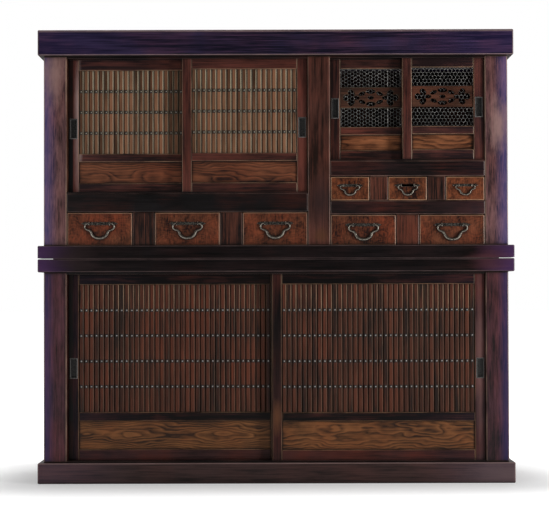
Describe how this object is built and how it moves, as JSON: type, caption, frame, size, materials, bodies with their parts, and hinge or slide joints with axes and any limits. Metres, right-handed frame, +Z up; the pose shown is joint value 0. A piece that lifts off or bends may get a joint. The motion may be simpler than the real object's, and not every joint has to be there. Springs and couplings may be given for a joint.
{
  "type": "mizuya kitchen cabinet",
  "caption": "Two stacked wooden kitchen cases with sliding slatted and netted doors, drawers on swinging iron bails, and a deep crown and plinth",
  "frame": {"origin": "middle of the footprint, on the floor", "axes": "+X to the right along the width, the doors and drawers face -Y, +Z up"},
  "size_m": [1.818, 0.455, 1.731],
  "materials": {
    "plinth_wood": "dark wiped lacquer",
    "waist_wood": "dark wiped lacquer",
    "crown_wood": "dark wiped lacquer",
    "post_wood": "wiped lacquer",
    "wall_wood": "thin stain",
    "rail_wood": "wiped lacquer",
    "divider_wood": "wiped lacquer",
    "inner_wood": "bare",
    "door_frame_wood": "wiped lacquer",
    "slat_wood": "wiped lacquer, worn",
    "upper_slat_wood": "thin stain, worn",
    "panel_wood": "wiped lacquer over figured grain",
    "drawer_wood": "wiped lacquer over figured grain",
    "small_drawer_wood": "wiped lacquer over figured grain",
    "net_wire": "dull wire",
    "pull_iron": "blackened",
    "plate_iron": "blackened",
    "bail_iron": "blackened, rubbed bright by the hand"
  },
  "bodies": {
    "cabinet": {"base_plinth": "plinth_wood", "lower_cap_board": "waist_wood", "upper_base_board": "waist_wood", "crown": "crown_wood", "lower_posts": "post_wood", "upper_posts": "post_wood", "lower_case_boards": "wall_wood", "upper_case_boards": "wall_wood", "upper_front_rails": "rail_wood", "drawer_dividers": "divider_wood", "drawer_guides": "inner_wood", "door_grooves": "rail_wood"},
    "lower_left_door": {"lower_left_door_frame": "door_frame_wood", "lower_left_door_slats": "slat_wood", "lower_left_door_panel": "panel_wood", "lower_left_door_pull": "pull_iron"},
    "lower_right_door": {"lower_right_door_frame": "door_frame_wood", "lower_right_door_slats": "slat_wood", "lower_right_door_panel": "panel_wood", "lower_right_door_pull": "pull_iron"},
    "upper_left_door": {"upper_left_door_frame": "door_frame_wood", "upper_left_door_slats": "upper_slat_wood", "upper_left_door_panel": "panel_wood", "upper_left_door_pull": "pull_iron"},
    "upper_right_door": {"upper_right_door_frame": "door_frame_wood", "upper_right_door_slats": "upper_slat_wood", "upper_right_door_panel": "panel_wood", "upper_right_door_pull": "pull_iron"},
    "netted_left_door": {"netted_left_door_frame": "door_frame_wood", "netted_left_door_netting": "net_wire", "netted_left_door_panels": "panel_wood", "netted_left_door_pull": "pull_iron"},
    "netted_right_door": {"netted_right_door_frame": "door_frame_wood", "netted_right_door_netting": "net_wire", "netted_right_door_panels": "panel_wood", "netted_right_door_pull": "pull_iron"},
    "left_drawer_1": {"left_drawer_1_box": "drawer_wood", "left_drawer_1_plate": "plate_iron"},
    "left_drawer_1_handle": {"left_drawer_1_bail": "bail_iron"},
    "left_drawer_2": {"left_drawer_2_box": "drawer_wood", "left_drawer_2_plate": "plate_iron"},
    "left_drawer_2_handle": {"left_drawer_2_bail": "bail_iron"},
    "left_drawer_3": {"left_drawer_3_box": "drawer_wood", "left_drawer_3_plate": "plate_iron"},
    "left_drawer_3_handle": {"left_drawer_3_bail": "bail_iron"},
    "right_drawer_1": {"right_drawer_1_box": "drawer_wood", "right_drawer_1_plate": "plate_iron"},
    "right_drawer_1_handle": {"right_drawer_1_bail": "bail_iron"},
    "right_drawer_2": {"right_drawer_2_box": "drawer_wood", "right_drawer_2_plate": "plate_iron"},
    "right_drawer_2_handle": {"right_drawer_2_bail": "bail_iron"},
    "small_drawer_1": {"small_drawer_1_box": "small_drawer_wood", "small_drawer_1_plate": "plate_iron"},
    "small_drawer_1_handle": {"small_drawer_1_bail": "bail_iron"},
    "small_drawer_2": {"small_drawer_2_box": "small_drawer_wood", "small_drawer_2_plate": "plate_iron"},
    "small_drawer_2_handle": {"small_drawer_2_bail": "bail_iron"},
    "small_drawer_3": {"small_drawer_3_box": "small_drawer_wood", "small_drawer_3_plate": "plate_iron"},
    "small_drawer_3_handle": {"small_drawer_3_bail": "bail_iron"}
  },
  "joints": [
    {"name": "lower_left_door_slide", "type": "slide", "parent": "cabinet", "child": "lower_left_door", "axis": [1, 0, 0], "range_m": [0, 0.785]},
    {"name": "lower_right_door_slide", "type": "slide", "parent": "cabinet", "child": "lower_right_door", "axis": [1, 0, 0], "range_m": [-0.785, 0]},
    {"name": "upper_left_door_slide", "type": "slide", "parent": "cabinet", "child": "upper_left_door", "axis": [1, 0, 0], "range_m": [0, 0.441]},
    {"name": "upper_right_door_slide", "type": "slide", "parent": "cabinet", "child": "upper_right_door", "axis": [1, 0, 0], "range_m": [-0.441, 0]},
    {"name": "netted_left_door_slide", "type": "slide", "parent": "cabinet", "child": "netted_left_door", "axis": [1, 0, 0], "range_m": [0, 0.2775]},
    {"name": "netted_right_door_slide", "type": "slide", "parent": "cabinet", "child": "netted_right_door", "axis": [1, 0, 0], "range_m": [-0.2775, 0]},
    {"name": "left_drawer_1_slide", "type": "slide", "parent": "cabinet", "child": "left_drawer_1", "axis": [0, -1, 0], "range_m": [0, 0.3]},
    {"name": "left_drawer_1_bail_swing", "type": "hinge", "parent": "left_drawer_1", "child": "left_drawer_1_handle", "pos_m": [-0.675, -0.2101, 0.99114], "axis": [-1, 0, 0], "range_deg": [0, 95]},
    {"name": "left_drawer_2_slide", "type": "slide", "parent": "cabinet", "child": "left_drawer_2", "axis": [0, -1, 0], "range_m": [0, 0.3]},
    {"name": "left_drawer_2_bail_swing", "type": "hinge", "parent": "left_drawer_2", "child": "left_drawer_2_handle", "pos_m": [-0.339, -0.2101, 0.99114], "axis": [-1, 0, 0], "range_deg": [0, 95]},
    {"name": "left_drawer_3_slide", "type": "slide", "parent": "cabinet", "child": "left_drawer_3", "axis": [0, -1, 0], "range_m": [0, 0.3]},
    {"name": "left_drawer_3_bail_swing", "type": "hinge", "parent": "left_drawer_3", "child": "left_drawer_3_handle", "pos_m": [-0.003, -0.2101, 0.99114], "axis": [-1, 0, 0], "range_deg": [0, 95]},
    {"name": "right_drawer_1_slide", "type": "slide", "parent": "cabinet", "child": "right_drawer_1", "axis": [0, -1, 0], "range_m": [0, 0.3]},
    {"name": "right_drawer_1_bail_swing", "type": "hinge", "parent": "right_drawer_1", "child": "right_drawer_1_handle", "pos_m": [0.3345, -0.2101, 0.98388], "axis": [-1, 0, 0], "range_deg": [0, 95]},
    {"name": "right_drawer_2_slide", "type": "slide", "parent": "cabinet", "child": "right_drawer_2", "axis": [0, -1, 0], "range_m": [0, 0.3]},
    {"name": "right_drawer_2_bail_swing", "type": "hinge", "parent": "right_drawer_2", "child": "right_drawer_2_handle", "pos_m": [0.6745, -0.2101, 0.98388], "axis": [-1, 0, 0], "range_deg": [0, 95]},
    {"name": "small_drawer_1_slide", "type": "slide", "parent": "cabinet", "child": "small_drawer_1", "axis": [0, -1, 0], "range_m": [0, 0.3]},
    {"name": "small_drawer_1_bail_swing", "type": "hinge", "parent": "small_drawer_1", "child": "small_drawer_1_handle", "pos_m": [0.28383, -0.209, 1.13512], "axis": [-1, 0, 0], "range_deg": [0, 95]},
    {"name": "small_drawer_2_slide", "type": "slide", "parent": "cabinet", "child": "small_drawer_2", "axis": [0, -1, 0], "range_m": [0, 0.3]},
    {"name": "small_drawer_2_bail_swing", "type": "hinge", "parent": "small_drawer_2", "child": "small_drawer_2_handle", "pos_m": [0.5045, -0.209, 1.13512], "axis": [-1, 0, 0], "range_deg": [0, 95]},
    {"name": "small_drawer_3_slide", "type": "slide", "parent": "cabinet", "child": "small_drawer_3", "axis": [0, -1, 0], "range_m": [0, 0.3]},
    {"name": "small_drawer_3_bail_swing", "type": "hinge", "parent": "small_drawer_3", "child": "small_drawer_3_handle", "pos_m": [0.72517, -0.209, 1.13512], "axis": [-1, 0, 0], "range_deg": [0, 95]}
  ]
}
